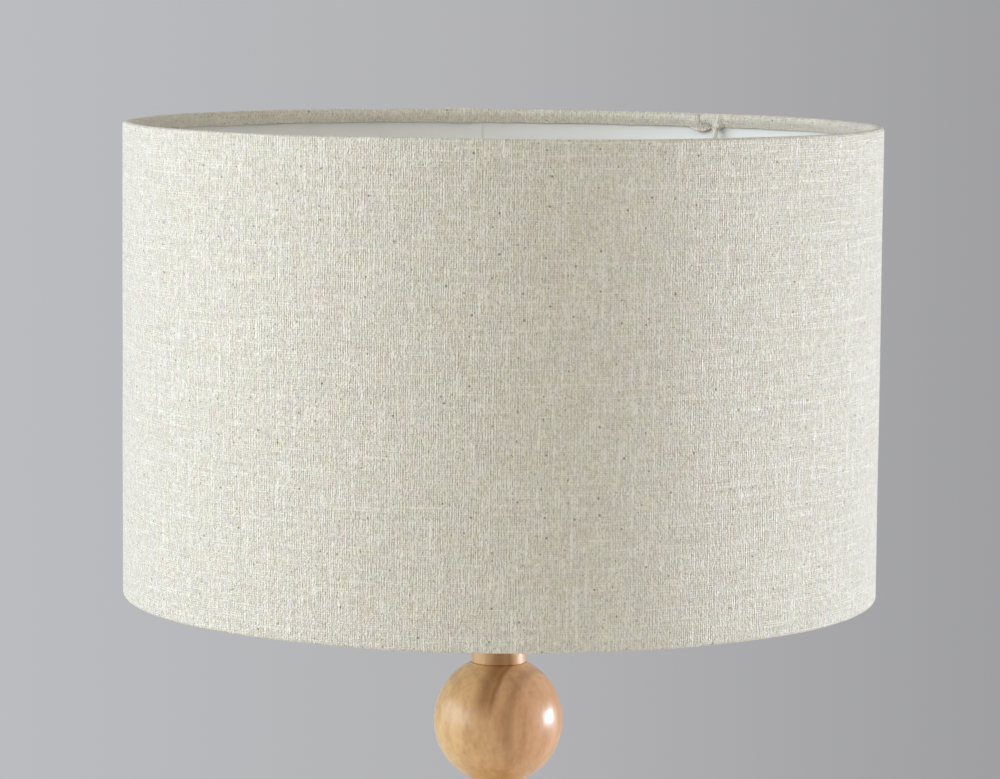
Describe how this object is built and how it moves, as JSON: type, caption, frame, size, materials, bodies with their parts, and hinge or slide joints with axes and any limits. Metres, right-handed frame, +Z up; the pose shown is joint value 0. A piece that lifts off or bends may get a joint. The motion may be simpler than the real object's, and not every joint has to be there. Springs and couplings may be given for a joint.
{
  "type": "column table lamp",
  "caption": "Table lamp with a column of turned wooden balls and collars on a round wooden foot, and a drum shade of natural cloth held on a harp.",
  "frame": {"origin": "centre of the felt's underside, where the lamp stands on the table", "axes": "+Z up along the column, -Y to the front (the switch knob's side), +Y to the back (the cord inlet's side), +X to the right seen from the front; the harp stands in the XZ plane"},
  "size_m": [0.3809, 0.381, 0.6038],
  "materials": {
    "felt": "pressed felt",
    "turned_wood": "turned and sanded, satin clear lacquer",
    "cast_weight": "as cast",
    "black_plastic": "moulded",
    "zinc_steel": "zinc plated",
    "satin_nickel": "satin nickel plated",
    "card_liner": "pressed insulating card",
    "phenolic": "moulded",
    "contact_brass": "stamped",
    "cap_aluminium": "rolled thread",
    "black_glass": "black glass insulator",
    "solder": "soldered contact",
    "frosted_glass": "frosted inside",
    "stem_glass": "clear",
    "filament_wire": "drawn wire",
    "natural_cloth": "plain weave with slubs, laminated",
    "white_lining": "satin white film",
    "white_wire": "powder coated wire"
  },
  "bodies": {
    "stand": {"foot_felt": "felt", "foot_disc": "turned_wood", "foot_weight": "cast_weight", "cord_bushing": "black_plastic", "pipe_washer": "zinc_steel", "pipe_nut": "zinc_steel", "threaded_pipe": "zinc_steel", "wooden_collar_1": "turned_wood", "wooden_ball_1": "turned_wood", "wooden_collar_2": "turned_wood", "wooden_ball_2": "turned_wood", "wooden_collar_3": "turned_wood", "wooden_ball_3": "turned_wood", "wooden_collar_4": "turned_wood", "wooden_ball_4": "turned_wood", "wooden_collar_5": "turned_wood", "check_ring": "satin_nickel", "metal_neck": "satin_nickel", "harp_saddle": "satin_nickel", "socket_cap": "satin_nickel", "socket_shell": "satin_nickel", "socket_liner": "card_liner", "socket_core": "phenolic", "terminal_screws": "contact_brass", "screw_shell": "contact_brass", "centre_contact": "contact_brass"},
    "switch": {"switch_shaft": "phenolic", "switch_knob": "black_plastic"},
    "bulb": {"bulb_cap": "cap_aluminium", "bulb_insulator": "black_glass", "bulb_tip": "solder", "bulb_glass": "frosted_glass", "bulb_stem": "stem_glass", "bulb_filament": "filament_wire"},
    "harp": {"harp_bow": "satin_nickel", "harp_stud": "satin_nickel"},
    "sleeve_left": {"harp_sleeve_left": "satin_nickel"},
    "sleeve_right": {"harp_sleeve_right": "satin_nickel"},
    "shade": {"shade_cloth": "natural_cloth", "shade_lining": "white_lining", "top_ring": "white_wire", "bottom_ring": "white_wire", "fitter_arm_1": "white_wire", "fitter_arm_2": "white_wire", "fitter_arm_3": "white_wire", "fitter_washer": "white_wire"},
    "finial": {"finial": "satin_nickel"}
  },
  "joints": [
    {"name": "switch_turn", "type": "hinge", "parent": "stand", "child": "switch", "pos_m": [0, -0.02, 0.39563], "axis": [0, -1, 0], "continuous": true},
    {"name": "bulb_out", "type": "slide", "parent": "stand", "child": "bulb", "axis": [0, 0, 1], "range_m": [0, 0.03]},
    {"name": "harp_lift", "type": "slide", "parent": "stand", "child": "harp", "axis": [0, 0, 1], "range_m": [0, 0.16]},
    {"name": "sleeve_left_lift", "type": "slide", "parent": "harp", "child": "sleeve_left", "axis": [0, 0, 1], "range_m": [0, 0.012]},
    {"name": "sleeve_right_lift", "type": "slide", "parent": "harp", "child": "sleeve_right", "axis": [0, 0, 1], "range_m": [0, 0.012]},
    {"name": "shade_turn", "type": "hinge", "parent": "harp", "child": "shade", "pos_m": [0, 0, 0.5738], "axis": [0, 0, 1], "continuous": true},
    {"name": "finial_off", "type": "slide", "parent": "harp", "child": "finial", "axis": [0, 0, 1], "range_m": [0, 0.014]}
  ]
}
